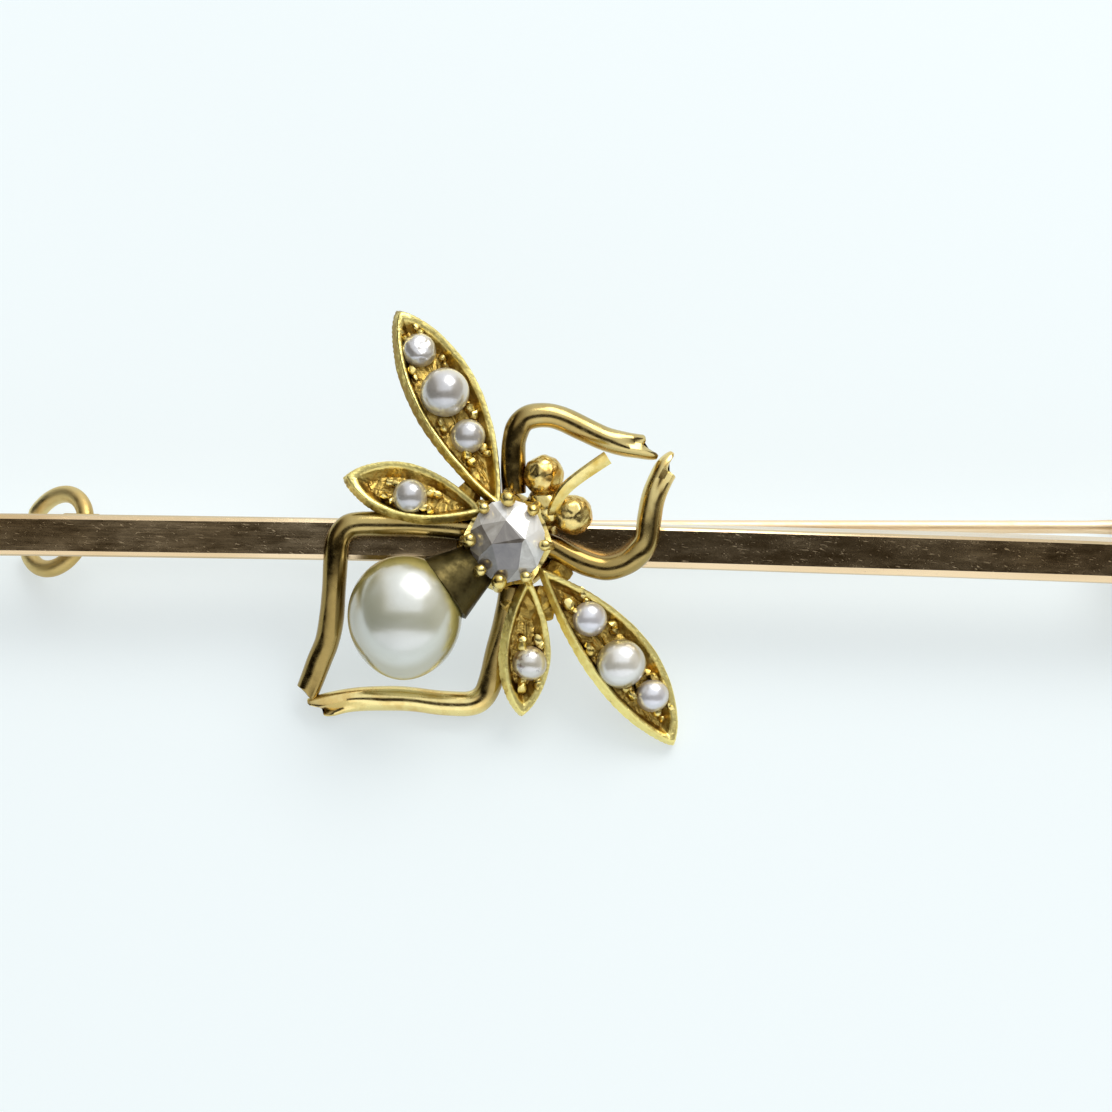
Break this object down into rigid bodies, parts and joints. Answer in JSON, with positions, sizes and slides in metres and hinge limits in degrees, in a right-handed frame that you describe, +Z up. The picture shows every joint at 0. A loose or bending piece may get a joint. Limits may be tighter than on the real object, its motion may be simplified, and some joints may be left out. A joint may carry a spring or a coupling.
{
  "type": "bar brooch",
  "caption": "Square gold bar brooch with an insect in front: pearl-set wing trays, a large pearl abdomen, a rose-cut stone in claws and bent wire legs; hinged pin and open C catch behind.",
  "frame": {"origin": "on the surface that the brooch lies on, under the middle of its outline box", "axes": "+X along the bar, towards the pin's hinge; +Y towards the back, where the upper wings point; +Z up from the surface. The brooch lies leaned back by 28 degrees, its front face looking up and forwards"},
  "size_m": [0.057, 0.0142, 0.0085],
  "materials": {
    "rose_gold": "polished 9 carat rose gold, finely scratched",
    "yellow_gold": "polished 15 carat yellow gold with bright-cut rims",
    "rose_cut_diamond": "faceted, greyish",
    "pearl": "nacre, soft lustre"
  },
  "bodies": {
    "brooch": {"bar": "rose_gold", "catch_hook": "yellow_gold", "hinge_bracket": "rose_gold", "hinge_rivet": "rose_gold", "insect_frame": "yellow_gold", "centre_stone": "rose_cut_diamond", "abdomen_pearl": "pearl", "seed_pearl_1": "pearl", "seed_pearl_2": "pearl", "seed_pearl_3": "pearl", "seed_pearl_4": "pearl", "seed_pearl_5": "pearl", "seed_pearl_6": "pearl", "seed_pearl_7": "pearl", "seed_pearl_8": "pearl"},
    "pin": {"pin_stem": "rose_gold"}
  },
  "joints": [
    {"name": "pin_swing", "type": "hinge", "parent": "brooch", "child": "pin", "pos_m": [0.0245, 0.00216, 0.00119], "axis": [0, -0.9903, -0.1392], "range_deg": [0, 100]}
  ]
}
